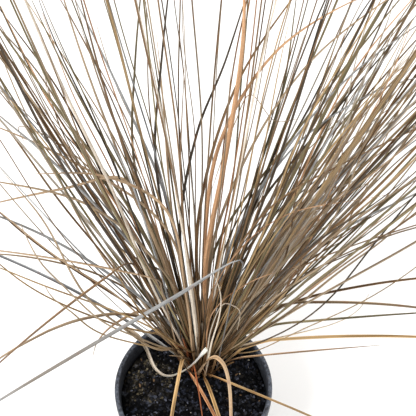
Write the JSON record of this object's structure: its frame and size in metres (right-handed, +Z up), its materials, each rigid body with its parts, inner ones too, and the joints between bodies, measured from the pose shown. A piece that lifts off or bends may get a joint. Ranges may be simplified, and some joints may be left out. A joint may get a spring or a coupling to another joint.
{
  "type": "potted ornamental grass clump",
  "caption": "Clump of bronze sedge in a round nursery pot: narrow arching leaves fan up and out from a dense crown in dark potting mix.",
  "frame": {"origin": "centre of the pot's underside, on the surface that it stands on", "axes": "+Z up along the pot's axis, -Y towards the front of the clump, +X to the right seen from the front"},
  "size_m": [0.5681, 0.4565, 0.6171],
  "materials": {
    "pot_plastic": "satin",
    "potting_mix": "matte",
    "crown": "matte",
    "leaf_bronze": "satin",
    "leaf_tan": "satin"
  },
  "bodies": {
    "root": {"crown": "crown", "leaf_folded": "leaf_tan", "leaf_front_arch": "leaf_tan", "leaf_front_olive": "leaf_tan", "leaf_front_orange": "leaf_tan", "leaf_front_rust": "leaf_tan", "leaf_front_straight": "leaf_tan", "leaf_front_tan": "leaf_tan", "leaf_left_arch": "leaf_tan", "leaf_left_dark": "leaf_tan", "leaf_left_grey": "leaf_tan", "leaf_left_low": "leaf_tan", "leaf_left_orange": "leaf_tan", "leaf_left_short": "leaf_tan", "leaf_right_bow": "leaf_tan", "leaf_right_dip": "leaf_tan", "leaf_right_fine": "leaf_tan", "leaf_right_golden": "leaf_tan", "leaf_right_hook": "leaf_tan", "leaf_right_up": "leaf_tan", "leaf_shed": "leaf_tan", "pot": "pot_plastic", "potting_mix": "potting_mix", "tiller_01": "leaf_bronze", "tiller_02": "leaf_bronze", "tiller_03": "leaf_bronze", "tiller_04": "leaf_bronze", "tiller_05": "leaf_bronze", "tiller_06": "leaf_bronze", "tiller_07": "leaf_bronze", "tiller_08": "leaf_bronze", "tiller_09": "leaf_bronze", "tiller_10": "leaf_bronze", "tiller_11": "leaf_bronze", "tiller_12": "leaf_bronze", "tiller_13": "leaf_bronze", "tiller_14": "leaf_bronze", "tiller_15": "leaf_bronze", "tiller_16": "leaf_bronze", "tiller_17": "leaf_bronze", "tiller_18": "leaf_bronze", "tiller_19": "leaf_bronze", "tiller_20": "leaf_bronze", "tiller_21": "leaf_bronze", "tiller_22": "leaf_bronze", "tiller_23": "leaf_bronze", "tiller_24": "leaf_bronze", "tiller_25": "leaf_bronze", "tiller_26": "leaf_bronze", "tiller_27": "leaf_bronze", "tiller_28": "leaf_bronze"}
  },
  "joints": []
}
